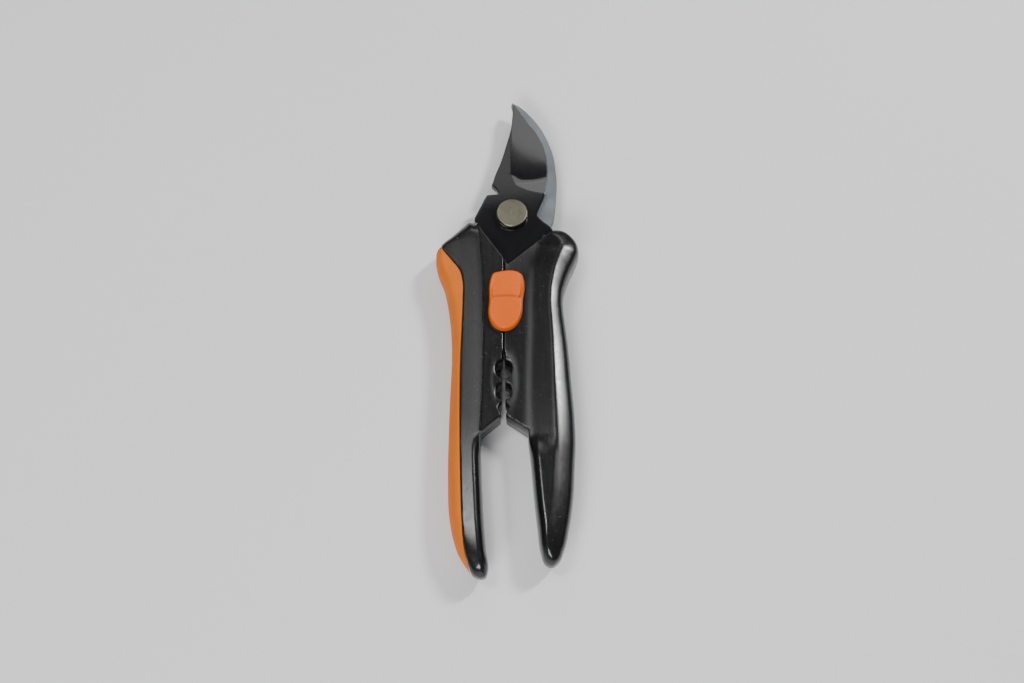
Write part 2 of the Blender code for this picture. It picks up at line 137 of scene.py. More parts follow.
CUTTING_BLADE = [
    (0.6, 51.9, 1), (1.4, 50.6), (2.7, 48.6), (6.3, 43.1), (9.6, 38.7), (12.2, 33.2),
    (13.7, 27.1), (14.1, 22.0), (14.0, 17.0), (13.6, 13.1), (13.0, 9.9), (12.2, 7.0),
    (11.2, 4.6), (9.6, 0.2, 1), (11.5, -2.0), (14.2, -4.4), (16.3, -7.5), (16.9, -12.0),
    (16.4, -18.0), (15.7, -26.0), (15.4, -36.0), (15.5, -48.0), (15.7, -70.5, 1),
    (14.2, -72.0, 1), (11.4, -72.0, 1), (10.0, -70.5, 1), (9.6, -48.0), (9.5, -36.0),
    (8.8, -31.0), (5.5, -28.2), (1.5, -26.6), (-4.4, -24.6, 1), (-4.9, -20.0), (-7.4, -13.2),
    (-10.4, -10.2), (-13.0, -6.4), (-14.4, -2.6), (-14.3, -0.9, 1), (-10.8, 7.0, 1),
    (-9.7, 9.0, 1), (-5.3, 9.5, 1), (-6.1, 11.4, 1), (-7.9, 13.3, 1), (-6.25, 18.9),
    (-4.8, 22.7), (-2.4, 31.2), (-0.4, 39.6), (0.2, 46.5),
]
CUTTING_EDGE = [
    (0.6, 51.9), (1.4, 50.6), (2.7, 48.6), (6.3, 43.1), (9.6, 38.7), (12.2, 33.2), (13.7, 27.1),
    (14.1, 22.0), (14.0, 17.0), (13.6, 13.1), (13.0, 9.9),
]
RUNOUT = 5                # where the grind line turns from the spine to the run-out
GRIND_LINE = [
    (0.55, 51.6), (0.2, 45.0), (-0.2, 38.0), (-0.5, 30.0), (-0.6, 22.0), (-0.5, 16.4),
    (1.6, 13.6), (5.5, 11.4), (9.5, 10.2), (13.0, 9.8),
]
HOOK_BLADE = [
    (0.0, 53.5, 1), (3.0, 51.7), (7.3, 47.2), (11.3, 41.5), (15.1, 32.6), (16.6, 27.0),
    (17.2, 21.3), (17.5, 15.0), (17.2, 9.3), (16.8, 4.0), (16.2, 0.0), (14.9, -4.0),
    (13.6, -7.2), (11.6, -10.3), (8.6, -12.9), (2.2, -19.5), (1.8, -22.8, 1), (-4.0, -25.6),
    (-8.5, -28.2), (-11.8, -31.4), (-12.6, -36.0), (-12.7, -70.0, 1), (-13.6, -71.6, 1),
    (-16.3, -71.6, 1), (-17.2, -70.0, 1), (-17.0, -48.0), (-16.9, -36.0), (-17.4, -28.0),
    (-18.3, -20.0), (-18.4, -14.0), (-17.4, -8.5), (-14.6, -5.2), (-13.2, -2.0), (-12.4, 0.5),
    (-9.8, 6.0), (-8.4, 7.8), (-4.6, 8.4), (0.0, 8.8), (5.5, 10.0), (8.6, 13.0), (10.2, 18.0),
    (10.6, 23.0), (10.0, 28.5), (8.4, 34.0), (5.6, 40.0), (2.6, 45.0), (0.9, 48.0),
    (-0.3, 52.0, 1),
]
HOOK_INNER = [
    (0.0, 8.8), (5.5, 10.0), (8.6, 13.0), (10.2, 18.0), (10.6, 23.0), (10.0, 28.5), (8.4, 34.0),
    (5.6, 40.0), (2.6, 45.0), (0.9, 48.0), (-0.2, 51.6),
]
THUMB_PAD = [
    (-7.3, -27.1), (-4.3, -25.95), (-1.5, -25.6), (2.1, -26.15), (3.7, -27.2), (4.4, -29.2),
    (3.95, -38.0), (3.5, -43.4), (2.4, -46.2), (0.4, -48.5), (-2.6, -49.5), (-5.6, -48.6),
    (-7.7, -46.2), (-8.6, -43.2), (-8.4, -38.0), (-8.0, -29.0),
]
PAD_LEDGE = [(-8.6, -37.6), (-6.4, -37.0), (-4.3, -36.65), (-2.1, -36.55), (0.1, -36.65),
             (2.2, -37.0), (4.4, -37.6)]
PAD_HEIGHTS = (5.8, 8.2)


# ---------------------------------------------------------------- plan geometry

EDGE_STEPS = (0.16, 0.42, 0.8)    # depths of the rings that carry every rounded edge
LINK_REACH = 1.4                  # neighbours further apart than this aren't linked
LINK_CLEAR = 0.08                 # a link stays this far inside the outline


def smooth_line(points, step, closed=True):
    """Points along a smooth line through the given ones, with the marked corners kept sharp."""
    place = [np.array(p[:2], float) for p in points]
    sharp = [len(p) > 2 for p in points]
    count = len(place)
    line = []
    for i in range(count if closed else count - 1):
        a, b = place[i], place[(i + 1) % count]
        span = np.linalg.norm(b - a)
        chord = (b - a) / span

        def tangent(k):
            k %= count
            if sharp[k] or (not closed and k in (0, count - 1)):
                return chord
            before = place[k] - place[k - 1]
            after = place[(k + 1) % count] - place[k]
            la, lb = np.linalg.norm(before), np.linalg.norm(after)
            mixed = before / la * lb + after / lb * la
            return mixed / np.linalg.norm(mixed)

        ta, tb = tangent(i) * span, tangent(i + 1) * span
        pieces = max(1, round(span / step))
        for j in range(pieces):
            t = j / pieces
            line.append(
                (2 * t**3 - 3 * t**2 + 1) * a + (t**3 - 2 * t**2 + t) * ta
                + (-2 * t**3 + 3 * t**2) * b + (t**3 - t**2) * tb)
    if not closed:
        line.append(place[-1])
    return np.array(line)


def distance(line, points, closed=True):
    """Distance of each point from a line."""
    ends = np.roll(line, -1, axis=0) if closed else line[1:]
    starts = line if closed else line[:-1]
    run = ends - starts
    size = np.maximum((run**2).sum(1), 1e-12)
    nearest = []
    for block in np.array_split(points, max(1, len(points) // 3000)):
        away = block[:, None, :] - starts[None]
        t = np.clip((away * run).sum(2) / size, 0, 1)
        gap = away - t[..., None] * run
        nearest.append(np.sqrt((gap**2).sum(2).min(1)))
    return np.concatenate(nearest)


def is_inside(line, points):
    ends = np.roll(line, -1, axis=0)
    held = np.zeros(len(points), bool)
    for (ax, ay), (bx, by) in zip(line, ends):
        if ay == by:
            continue
        crosses = (points[:, 1] < ay) != (points[:, 1] < by)
        held ^= crosses & (points[:, 0] < ax + (points[:, 1] - ay) / (by - ay) * (bx - ax))
    return held


def depth(line, points):
    """Distance inside a closed line, negative outside it."""
    return np.where(is_inside(line, points), 1.0, -1.0) * distance(line, points)


def stretch(line, start, end):
    """The part of a closed line between two of its places."""
    first, last = (np.linalg.norm(line - place[:2], axis=1).argmin() for place in (start, end))
    if last < first:
        last += len(line)
    return line[np.arange(first, last + 1) % len(line)]


def inward(line):
    """Unit direction into a closed line, at each of its points."""
    along = np.roll(line, -1, axis=0) - np.roll(line, 1, axis=0)
    along /= np.linalg.norm(along, axis=1)[:, None]
    area = (line[:, 0] * np.roll(line[:, 1], -1) - line[:, 1] * np.roll(line[:, 0], -1)).sum()
    return np.stack([-along[:, 1], along[:, 0]], 1) * (1 if area > 0 else -1)


def rings(line, depths):
    """Copies of a closed line moved inwards, one for each depth, without their folded parts."""
    into = inward(line)
    found = []
    for d in depths:
        moved = line + into * d
        found.append(moved[distance(line, moved) >= abs(d) * 0.97 - 0.001])
    return found


def spread(candidates, spacing, taken):
    """Keep the candidates that are further than the spacing from those already taken.

    The search cells are as large as the spacing, so points that were taken with another
    spacing are only met by chance.
    """
    kept = []
    for x, y in candidates:
        key = (math.floor(x / spacing), math.floor(y / spacing))
        near = (p for i in (-1, 0, 1) for j in (-1, 0, 1)
                for p in taken.get((key[0] + i, key[1] + j), ()))
        if all((x - px) ** 2 + (y - py) ** 2 > spacing**2 for px, py in near):
            taken.setdefault(key, []).append((x, y))
            kept.append((x, y))
    return kept


def linked(line, strand, first):
    """Pairs of close neighbours along a strand, where the way between them is inside the line."""
    after = np.roll(strand, -1, axis=0)
    middle = (strand + after) / 2
    near = np.linalg.norm(after - strand, axis=1) < LINK_REACH
    clear = near & is_inside(line, middle) & (distance(line, middle) > LINK_CLEAR)
    return [(first + i, first + (i + 1) % len(strand)) for i in np.flatnonzero(clear).tolist()]


def rounded(d, radius, low, high):
    """Quarter-round profile rising from low at the edge to high, a radius inwards."""
    t = 1 - np.clip(d / radius, 0, 1)
    return low + (high - low) * np.sqrt(np.maximum(1 - t * t, 0))


def smooth_step(value):
    t = np.clip(value, 0, 1)
    return t * t * (3 - 2 * t)


def soft_min(a, b, blend):
    h = np.maximum(blend - np.abs(a - b), 0) / blend
    return np.minimum(a, b) - h * h * blend / 4


# ---------------------------------------------------------------- meshes

def to_world(mesh):
    mesh.transform(Matrix.Translation(PIVOT) @ Matrix.Scale(MM, 4))


def make_object(name, mesh):
    made = bpy.data.objects.new(name, mesh)
    bpy.context.scene.collection.objects.link(made)
    return made


def relief(name, outline, top, floor, spacing=0.7, guides=(), bottom=None, step=0.7, flip=False):
    """A closed solid with a modelled upper face.

    top(points, depth) gives the face's height, and guides are lines that the face's edges
    follow. bottom gives the lower face's height; without it that face is flat, at floor.
    """
    line = smooth_line(outline, step)
    low, high = line.min(0), line.max(0)
    rows = np.arange(low[1], high[1], spacing * 0.87)
    grid = np.array([
        (x + (spacing / 2 if n % 2 else 0), y)
        for n, y in enumerate(rows) for x in np.arange(low[0], high[0], spacing)])
    taken = {}
    inner = []
    count = len(line)
    links = []
    for strand, margin, apart in (
            [(ring, 0.12, 0.14) for ring in rings(line, EDGE_STEPS)]
            + [(guide, 0.2, 0.2) for guide in guides]
            + [(grid, 0.35, spacing * 0.6)]):
        strand = strand[is_inside(line, strand)]
        strand = strand[distance(line, strand) > margin]
        kept = spread(strand.tolist(), apart, taken)
        if len(kept) > 1:
            links += linked(line, np.array(kept), count + len(inner))
        inner += kept
    flat = [Vector(p) for p in line.tolist()] + [Vector(p) for p in inner]
    loop = [(i, (i + 1) % count) for i in range(count)]
    verts, _, faces, _, _, _ = geometry.delaunay_2d_cdt(flat, loop + links, [], 1, 1e-6)
    plan = np.array([tuple(v) for v in verts])
    edge_depth = distance(line, plan)
    edge_depth[:count] = 0
    upper = top(plan, edge_depth)
    if bottom is None:
        base_faces = geometry.delaunay_2d_cdt(flat[:count], loop, [], 1, 1e-6)[2]
        base = [(x, y, floor) for x, y in plan[:count]]
    else:
        base_faces = faces
        base = [(x, y, z) for (x, y), z in zip(plan, bottom(plan, edge_depth))]
    shift = len(plan)
    all_verts = [(x, y, z) for (x, y), z in zip(plan, upper)] + base
    all_faces = [tuple(f) for f in faces]
    all_faces += [tuple(shift + i for i in reversed(f)) for f in base_faces]
    all_faces += [(a, shift + a, shift + b, b) for a, b in loop]
    if flip:
        all_verts = [(x, y, -z) for x, y, z in all_verts]
    mesh = bpy.data.meshes.new(name)
    mesh.from_pydata(all_verts, [], all_faces)
    work = bmesh.new()
    work.from_mesh(mesh)
    bmesh.ops.recalc_face_normals(work, faces=work.faces)
    work.to_mesh(mesh)
    work.free()
    to_world(mesh)
    return make_object(name, mesh)


def apply_modifiers(item):
    bpy.context.view_layer.update()
    graph = bpy.context.evaluated_depsgraph_get()
    mesh = bpy.data.meshes.new_from_object(item.evaluated_get(graph))
    item.modifiers.clear()
    item.data = mesh


def cut(item, tools):
    """Cut an object with several solids, which are used up."""
    for tool in tools:
        change = item.modifiers.new("cut", "BOOLEAN")
        change.operation = "DIFFERENCE"
        change.solver = "EXACT"
        change.object = tool
    apply_modifiers(item)
    for tool in tools:
        bpy.data.objects.remove(tool)


def as_object(name, work):
    """Make an object of a finished bmesh, which is used up."""
    mesh = bpy.data.meshes.new(name)
    work.to_mesh(mesh)
    work.free()
    to_world(mesh)
    return make_object(name, mesh)


def block(x, y, z):
    """A box-shaped cutter."""
    work = bmesh.new()
    spans = [pair[1] - pair[0] for pair in (x, y, z)]
    centre = Vector([(pair[1] + pair[0]) / 2 for pair in (x, y, z)])
    bmesh.ops.create_cube(
        work, size=1.0, matrix=Matrix.Translation(centre) @ Matrix.Diagonal((*spans, 1.0)))
    return as_object("block", work)


def bar(centre, radius, low, high, along="Z", sides=40):
    """A round cutter."""
    work = bmesh.new()
    middle = (low + high) / 2
    if along == "Z":
        matrix = Matrix.Translation(Vector((*centre, middle)))
    else:
        matrix = Matrix.Translation(Vector((middle, *centre)))
        matrix = matrix @ Matrix.Rotation(math.pi / 2, 4, "Y")
    bmesh.ops.create_cone(work, cap_ends=True, segments=sides, radius1=radius, radius2=radius,
                          depth=high - low, matrix=matrix)
    return as_object("bar", work)


def slab(points, low, high, grow=0.0):
    """A flat cutter with a plan outline, grown sideways if asked."""
    line = np.array([p[:2] for p in points], float)
    if grow:
        line = line - inward(line) * grow
    work = bmesh.new()
    face = work.faces.new([work.verts.new((x, y, low)) for x, y in line])
    walls = bmesh.ops.extrude_face_region(work, geom=[face])
    raised = [v for v in walls["geom"] if isinstance(v, bmesh.types.BMVert)]
    bmesh.ops.translate(work, verts=raised, vec=(0, 0, high - low))
    bmesh.ops.recalc_face_normals(work, faces=work.faces)
    return as_object("slab", work)


def turned(name, profile, centre=(0.0, 0.0), sides=64):
    """A turned piece: profile of (radius, height), closed on the axis or as a ring."""
    work = bmesh.new()
    verts = [work.verts.new((r, 0, z)) for r, z in profile]
    edges = [work.edges.new(pair) for pair in zip(verts, verts[1:])]
    if profile[0][0] > 0:
        edges.append(work.edges.new((verts[-1], verts[0])))
    bmesh.ops.spin(work, geom=verts + edges, cent=(0, 0, 0), axis=(0, 0, 1),
                   angle=2 * math.pi, steps=sides, use_merge=True)
    bmesh.ops.remove_doubles(work, verts=work.verts, dist=1e-4)
    bmesh.ops.recalc_face_normals(work, faces=work.faces)
    bmesh.ops.translate(work, verts=work.verts, vec=(*centre, 0))
    return as_object(name, work)


def finish_piece(item, body, nodes, material, crease=35.0):
    """Shade, colour and mount a finished piece in place of its CAD nodes."""
    item.data.materials.clear()
    item.data.materials.append(material)
    item.data.shade_smooth()
    item.data.set_sharp_from_angle(angle=math.radians(crease))
    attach(item, body)
    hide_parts(*nodes)


# ---------------------------------------------------------------- materials

GRAIN_DEPTH = 0.00004     # bump heights, in metres
COAT_DEPTH = 0.00003


class Nodes:
    """Shorthand for building one node material."""

    def __init__(self, name):
        self.material = bpy.data.materials.new(name)
        self.material.use_nodes = True
        self.tree = self.material.node_tree
        self.shader = self.tree.nodes["Principled BSDF"]
        self.coords = self.tree.nodes.new("ShaderNodeTexCoord").outputs["Object"]

    def add(self, kind, inputs=None, **settings):
        node = self.tree.nodes.new("ShaderNode" + kind)
        for key, value in settings.items():
            setattr(node, key, value)
        for key, value in (inputs or {}).items():
            self.set(node.inputs[key], value)
        return node

    def set(self, socket, value):
        if isinstance(value, bpy.types.NodeSocket):
            self.tree.links.new(value, socket)
        else:
            socket.default_value = value

    def mapped(self, scale, location=(0, 0, 0)):
        node = self.add("Mapping", {"Vector": self.coords, "Scale": scale, "Location": location})
        return node.outputs["Vector"]

    def noise(self, scale, detail=3.0, vector=None, roughness=0.5):
        node = self.add("TexNoise", {
            "Scale": scale, "Detail": detail, "Roughness": roughness,
            "Vector": vector or self.coords})
        return node.outputs["Fac"]

    def remap(self, value, low, high, to_low, to_high):
        node = self.add("MapRange", {
            "Value": value, "From Min": low, "From Max": high, "To Min": to_low,
            "To Max": to_high})
        return node.outputs["Result"]

    def mix(self, factor, a, b):
        node = self.add("Mix", data_type="RGBA")
        self.set(node.inputs[0], factor)
        self.set(node.inputs[6], (*a, 1) if isinstance(a, tuple) else a)
        self.set(node.inputs[7], (*b, 1) if isinstance(b, tuple) else b)
        return node.outputs[2]

    def bump(self, height, strength, distance_m, normal=None):
        node = self.add("Bump", {"Height": height, "Strength": strength, "Distance": distance_m})
        if normal:
            self.set(node.inputs["Normal"], normal)
        return node.outputs["Normal"]

    def shade(self, **values):
        for key, value in values.items():
            socket = self.shader.inputs[key.replace("_", " ")]
            self.set(socket, (*value, 1) if isinstance(value, tuple) else value)


def moulded_plastic(name, dark, light, rough, grain, grain_size, streaks=0.0, specks=0.0,
                    gloss=0.5):
    """Fine-grained moulded plastic, with faint flow streaks along the handle and stray dust."""
    n = Nodes(name)
    fine = n.noise(1.0 / (grain_size * MM), 2.0)
    cloud = n.noise(90.0, 3.0)
    streak = n.noise(1.0, 3.0, n.mapped((1400, 90, 1400)))
    colour = n.mix(n.remap(cloud, 0.2, 0.8, 0.0, 1.0), dark, light)
    if streaks:
        colour = n.mix(n.remap(streak, 0.45, 0.8, 0.0, streaks), colour,
                       tuple(min(1.0, 2.2 * c + 0.01) for c in light))
    if specks:
        dust = n.noise(1900.0, 1.0)
        colour = n.mix(n.remap(dust, 0.76, 0.82, 0.0, specks), colour, (0.40, 0.41, 0.41))
    n.shade(Base_Color=colour,
            Roughness=n.remap(n.noise(700.0, 4.0), 0.25, 0.75, rough - 0.03, rough + 0.04))
    height = n.add("Math", {0: streak, 1: 0.25, 2: fine}, operation="MULTIPLY_ADD").outputs[0]
    n.shade(Normal=n.bump(height, grain, GRAIN_DEPTH))
    n.shader.inputs["Specular IOR Level"].default_value = gloss
    return n.material


def coated_steel(name):
    """Glossy low-friction coating over a ground blade, with a very fine orange peel."""
    n = Nodes(name)
    along = n.noise(1.0, 4.0, n.mapped((2200, 140, 2200)))
    cloud = n.noise(70.0, 3.0)
    n.shade(Base_Color=n.mix(cloud, (0.004, 0.004, 0.0045), (0.009, 0.009, 0.0095)),
            Roughness=n.remap(cloud, 0.3, 0.7, 0.06, 0.11))
    n.shader.inputs["Specular IOR Level"].default_value = 0.62
    peel = n.bump(n.noise(1500.0, 2.0), 0.10, COAT_DEPTH)
    n.shade(Normal=n.bump(along, 0.06, COAT_DEPTH, peel))
    return n.material


def ground_steel(name, colour, rough, lines=(90, 2600, 900), strength=0.22):
    """Bare steel with fine grinding lines."""
    n = Nodes(name)
    grind = n.noise(1.0, 4.0, n.mapped(lines))
    cloud = n.noise(130.0, 4.0)
    darker = tuple(0.78 * c for c in colour)
    n.shade(Base_Color=n.mix(n.remap(cloud, 0.35, 0.65, 0.0, 1.0), darker, colour), Metallic=1.0,
            Roughness=n.remap(grind, 0.3, 0.7, rough - 0.07, rough + 0.09),
            Normal=n.bump(grind, strength, GRAIN_DEPTH))
    return n.material


def machined_steel(name, colour, rough, ring_mm=0.42):
    """A turned face: rings of the cutting tool about the pivot."""
    n = Nodes(name)
    centred = n.mapped((1, 1, 0), (-PIVOT.x, -PIVOT.y, 0))
    wave = n.add("TexWave", {
        "Vector": centred, "Scale": 2 * math.pi / (20 * ring_mm * MM), "Distortion": 0.4,
        "Detail": 2.0, "Detail Scale": 0.5}, wave_type="RINGS", rings_direction="SPHERICAL")
    ring = wave.outputs["Fac"]
    cloud = n.noise(260.0, 4.0)
    darker = tuple(0.72 * c for c in colour)
    n.shade(Base_Color=n.mix(n.remap(cloud, 0.3, 0.7, 0.0, 1.0), darker, colour), Metallic=1.0,
            Roughness=n.remap(ring, 0.0, 1.0, rough - 0.05, rough + 0.12),
            Normal=n.bump(ring, 0.35, GRAIN_DEPTH))
    return n.material


black_plastic = moulded_plastic("black_plastic", (0.0040, 0.0040, 0.0043), (0.007, 0.007, 0.0074),
                                0.24, 0.16, 0.30, streaks=0.22, specks=0.30)
orange_grip = moulded_plastic("orange_grip", (0.50, 0.110, 0.002), (0.58, 0.132, 0.003),
                              0.55, 0.35, 0.45, gloss=0.3)
orange_lock = moulded_plastic("orange_lock", (0.60, 0.092, 0.001), (0.66, 0.106, 0.002),
                              0.38, 0.15, 0.30, gloss=0.25)
blade_coat = coated_steel("blade_coat")
hook_steel = ground_steel("hook_steel", (0.20, 0.22, 0.235), 0.42, (500, 1500, 900), 0.5)
bolt_steel = machined_steel("bolt_steel", (0.19, 0.18, 0.135), 0.38, ring_mm=1.0)
dark_steel = ground_steel("dark_steel", (0.23, 0.23, 0.24), 0.36)
bright_steel = ground_steel("bright_steel", (0.55, 0.55, 0.56), 0.26)
screw_steel = ground_steel("screw_steel", (0.30, 0.30, 0.31), 0.32, (1200, 1200, 1200), 0.12)

# ---------------------------------------------------------------- handles

BAR_EDGE = 1.4            # height of a bar's side at the parting line
THROAT_Y = -88.0          # the webs end here
WEB_END = -97.0           # where the bars' inner sides have become fully round
WEB_FADE = 9.0            # length over which they do
BUTT_RUN = (-118.0, -137.0)
BUTT_FALL = 1.6           # how much lower the bars get over that run
INNER_ROUND = (3.1, 2.1)  # radius and power of the inner sides' rounding below the throat
SHELL_EASE = 0.42         # sizes of the rounded edges
GRIP_EASE = 0.35
GRIP_LOW = 0.4            # the grip's sides come down to this height
GRIP_SINK = 0.05          # its face lies this much below the shell's

# the left bar
HOOK_ROUND = (11.0, 2.6)
HOOK_LEAN = 0.167         # slope of its outward lean
LEAN_WIDTH = 12.0
STEP = 0.42               # width of its step down to the web

# the right bar
PALM_ROUND = (6.5, 2.4)
RIDGE_AT = 6.3            # distance of its ridge from the palm side
RIDGE_DROP = 0.2
PALM_SLOPE = 0.27         # slope of the palm face at the ridge
PALM_CURVE = 0.02
WEB_SLOPE = 0.31          # slope from the ridge down to the web

# the web
DISH_Y = -68.0            # middle of the dished area
DISH_SIZE = (6.6, 17.5)
DISH_DROP = 0.5
MOUTH_REACH = 9.0         # the right web falls towards the blades
MOUTH_DROP = 0.75

RING_STEPS = (-0.4, 0.0) + EDGE_STEPS + (1.2, 1.7, 2.3, 3.1, 4.0, 4.8, 5.4, 5.9, 6.4, 7.0)

hook_bar = smooth_line(HOOK_BAR, 0.5)
blade_bar = smooth_line(BLADE_BAR, 0.5)
SIDES = {
    # bar line, palm side, inner side
    "hook": (hook_bar, stretch(hook_bar, HOOK_BAR[0], HOOK_BAR[HOOK_BUTT]),
             stretch(hook_bar, HOOK_BAR[HOOK_BUTT], HOOK_BAR[-1])),
    "blade": (blade_bar, stretch(blade_bar, BLADE_BAR[0], BLADE_BAR[BLADE_BUTT]),
              stretch(blade_bar, BLADE_BAR[BLADE_BUTT], BLADE_BAR[-1])),
}
mouth_line = smooth_line(MOUTH, 0.8, closed=False)


def superellipse(d, radius, power):
    """How far a rounding has risen, from 0 at its edge to 1 a radius inwards."""
    t = 1 - np.clip(d / radius, 0, 1)
    return (1 - t**power) ** (1 / power)


def web_height(side, points):
    """The thin middle of the tool, dished around the stem notches."""
    across = (points[:, 0] - MEETING_X) / DISH_SIZE[0]
    along = (points[:, 1] - DISH_Y) / DISH_SIZE[1]
    dish = np.clip(1 - np.sqrt(across**2 + along**2), 0, 1)
    face = WEB - DISH_DROP * np.minimum(dish * 2.2, 1) ** 2 * (0.5 + 0.5 * dish)
    if side == "blade":
        to_mouth = distance(mouth_line, points, closed=False)
        face = face - MOUTH_DROP * (1 - np.clip(to_mouth / MOUTH_REACH, 0, 1)) ** 2
    return face


def handle_height(side, points, low=BAR_EDGE):
    """A handle's face: a crowned bar on the palm side, coming down to the web.

    The left bar leans outwards and drops to the web in a crisp step; the right one has a ridge,
    with a broad palm face on one side of it and a long even slope to the web on the other.
    """
    bar_line, outer, inner = SIDES[side]
    to_outer = distance(outer, points, closed=False)
    to_inner = distance(inner, points, closed=False)
    end = np.clip((points[:, 1] - BUTT_RUN[0]) / (BUTT_RUN[1] - BUTT_RUN[0]), 0, 1)
    full = TOP - low - BUTT_FALL * end * end
    on_web = (depth(bar_line, points) <= 0) & (to_inner < to_outer) & (points[:, 1] > THROAT_Y)
    web_face = web_height(side, points)
    if side == "hook":
        crown = low + full * superellipse(to_outer, *HOOK_ROUND)
        lean = HOOK_LEAN * soft_min(np.maximum(to_inner - STEP, 0), LEAN_WIDTH, blend=5.0)
        crown = soft_min(crown, low + full - lean, blend=0.5)
        beside_web = web_face + np.clip(to_inner / STEP, 0, 1) * (crown - web_face)
    else:
        fall = RIDGE_AT - to_outer
        palm = low + full - RIDGE_DROP - PALM_SLOPE * fall - PALM_CURVE * fall * np.abs(fall)
        side_round = low + (full + RIDGE_DROP) * superellipse(to_outer, *PALM_ROUND)
        crown = np.minimum(soft_min(palm, side_round, blend=0.7), low + full)
        slope = WEB_SLOPE * np.where(on_web, -to_inner, to_inner)
        beside_web = soft_min(crown, web_face - soft_min(0.0, -slope, blend=0.7), blend=0.35)
    free = low + (crown - low) * superellipse(to_inner, *INNER_ROUND)
    beside = smooth_step((points[:, 1] - WEB_END) / WEB_FADE)
    bar_face = beside * beside_web + (1 - beside) * free
    return np.where(on_web & (side == "hook"), web_face, bar_face)


def eased(edge, size):
    """How far a face falls at an edge that is rounded over a small size."""
    return size - rounded(edge, size, 0.0, size)


def shell_height(side):
    return lambda points, edge: handle_height(side, points) - eased(edge, SHELL_EASE)


def grip_height(points, edge):
    return handle_height("hook", points, low=GRIP_LOW) - GRIP_SINK - eased(edge, GRIP_EASE)


def plate_pocket():
    return bar((0, 0), 17.5, HOOK_BACK - GAP, BLADE_TOP + GAP, sides=72)


def spring_pocket():
    return bar((SPRING_Y, 0), 3.9, -11.5, 8.5, along="X")


SCREWS = {
    "hook": [(-20.6, -16.6), (-14.6, -84.0), (-12.8, -124.0)],
    "blade": [(20.2, -15.4), (14.0, -86.0), (14.0, -120.0)],
}
# room that the other side's parts need when the handles open, and the lock's pockets
BLADE_SWEEP = [
    (-7.9, -12.0), (-7.9, -14.5), (-6.6, -17.5), (-5.6, -20.0), (-5.2, -24.8), (-3.8, -25.6),
    (-2.0, -25.8), (-2.0, -12.0),
]
HOOK_SWEEP = [(-6.0, -12.0), (6.5, -14.0), (5.6, -17.0), (2.8, -20.0), (2.4, -23.4), (-6.0, -26.5)]
CATCH_ROOM = ((-9.8, 0.0), (-43.7, -30.2), (-1.6, 1.6))
LATCH_WAY = ((-1.3, 2.8), (-44.8, -30.4), (-12, 12))
TONGUE_WAY = ((-6.0, -0.5), (-42.4, -33.0), (-1.6, 1.6))

for side, is_front in (("hook", True), ("hook", False), ("blade", True), ("blade", False)):
    name = f"{side}_handle_{'front' if is_front else 'back'}"
    outline = HOOK_SHELL if side == "hook" else BLADE_SHELL
    shell = relief(name, outline, shell_height(side), PARTING, step=0.5, flip=not is_front,
                   guides=rings(SIDES[side][0], RING_STEPS))
    tools = [plate_pocket(), spring_pocket()]
    if side == "hook":
        tools.append(block(*CATCH_ROOM))
        tools.append(slab(BLADE_SWEEP, -1.0, BLADE_TOP + GAP) if is_front
                     else slab(HOOK_BLADE, HOOK_BACK - GAP, 1.0, grow=GAP))
    else:
        tools.append(block(*LATCH_WAY))
        tools.append(block(*TONGUE_WAY))
        tools.append(slab(CUTTING_BLADE, -1.0, BLADE_TOP + GAP, grow=GAP) if is_front
                     else slab(HOOK_SWEEP, HOOK_BACK - GAP, 1.0))
    if not is_front:
        for place in SCREWS[side]:
            tools.append(bar(place, 2.5, -12.0, -5.4, sides=32))
    for tool in tools:
        cut(shell, [tool])
    finish_piece(shell, f"{side}_side", [name], black_plastic, crease=60)

grip = relief("soft_grip", SOFT_GRIP, grip_height, 0.0, spacing=0.6,
              guides=rings(hook_bar, RING_STEPS),
              bottom=lambda points, edge: -grip_height(points, edge))
finish_piece(grip, "hook_side", ["soft_grip"], orange_grip)

# ---------------------------------------------------------------- blades

edge_line = smooth_line(CUTTING_EDGE, 0.8, closed=False)
grind_line = smooth_line(GRIND_LINE, 0.8, closed=False)
spine_line = smooth_line(GRIND_LINE[:RUNOUT + 1] + [(-0.5, 8.0)], 0.8, closed=False)
runout_line = smooth_line(GRIND_LINE[RUNOUT:], 0.8, closed=False)
grind_area = np.vstack([grind_line, edge_line[::-1]])
hook_inner = smooth_line(HOOK_INNER, 0.8, closed=False)
BEVEL_DROP = 1.35
BEVEL_SLOPE = 0.135       # steepest mean slope of the bevel, which counts near the tip
RUNOUT_SLOPE = 0.19
HONED_WIDTH = 0.42
HONED_HEIGHT = 0.3        # thickness left at the cutting edge
HOOK_GRIND_WIDTH = 3.2
HOOK_GRIND_DEPTH = 1.5
BOLT_HOLE = 3.3
TANG_HOLE = 1.8


def blade_face(points, edge):
    """Flat plate with a hollow-ground bevel that runs out in an arc above the pivot."""
    to_edge = distance(edge_line, points, closed=False)
    to_spine = distance(spine_line, points, closed=False)
    to_runout = distance(runout_line, points, closed=False)
    width = np.maximum(to_spine + to_edge, 1e-6)
    bevel = soft_min(BEVEL_DROP, BEVEL_SLOPE * width, blend=0.4) * to_spine / width
    drop = np.maximum(soft_min(bevel, RUNOUT_SLOPE * to_runout, blend=0.3), 0)
    face = BLADE_TOP - np.where(is_inside(grind_area, points), drop, 0)
    away = smooth_step((to_edge - edge) / 0.6)
    face = face - away * eased(edge, 0.3)
    honed = HONED_HEIGHT + (face - HONED_HEIGHT) * np.clip(to_edge / HONED_WIDTH, 0, 1)
    return face + (honed - face) * (1 - away)


def drill(plate, pins):
    """The bolt's hole and the tang pins' holes."""
    cut(plate, [bar((0, 0), BOLT_HOLE, -9, 9, sides=64)])
    for place in pins:
        cut(plate, [bar(place, TANG_HOLE, -9, 9)])


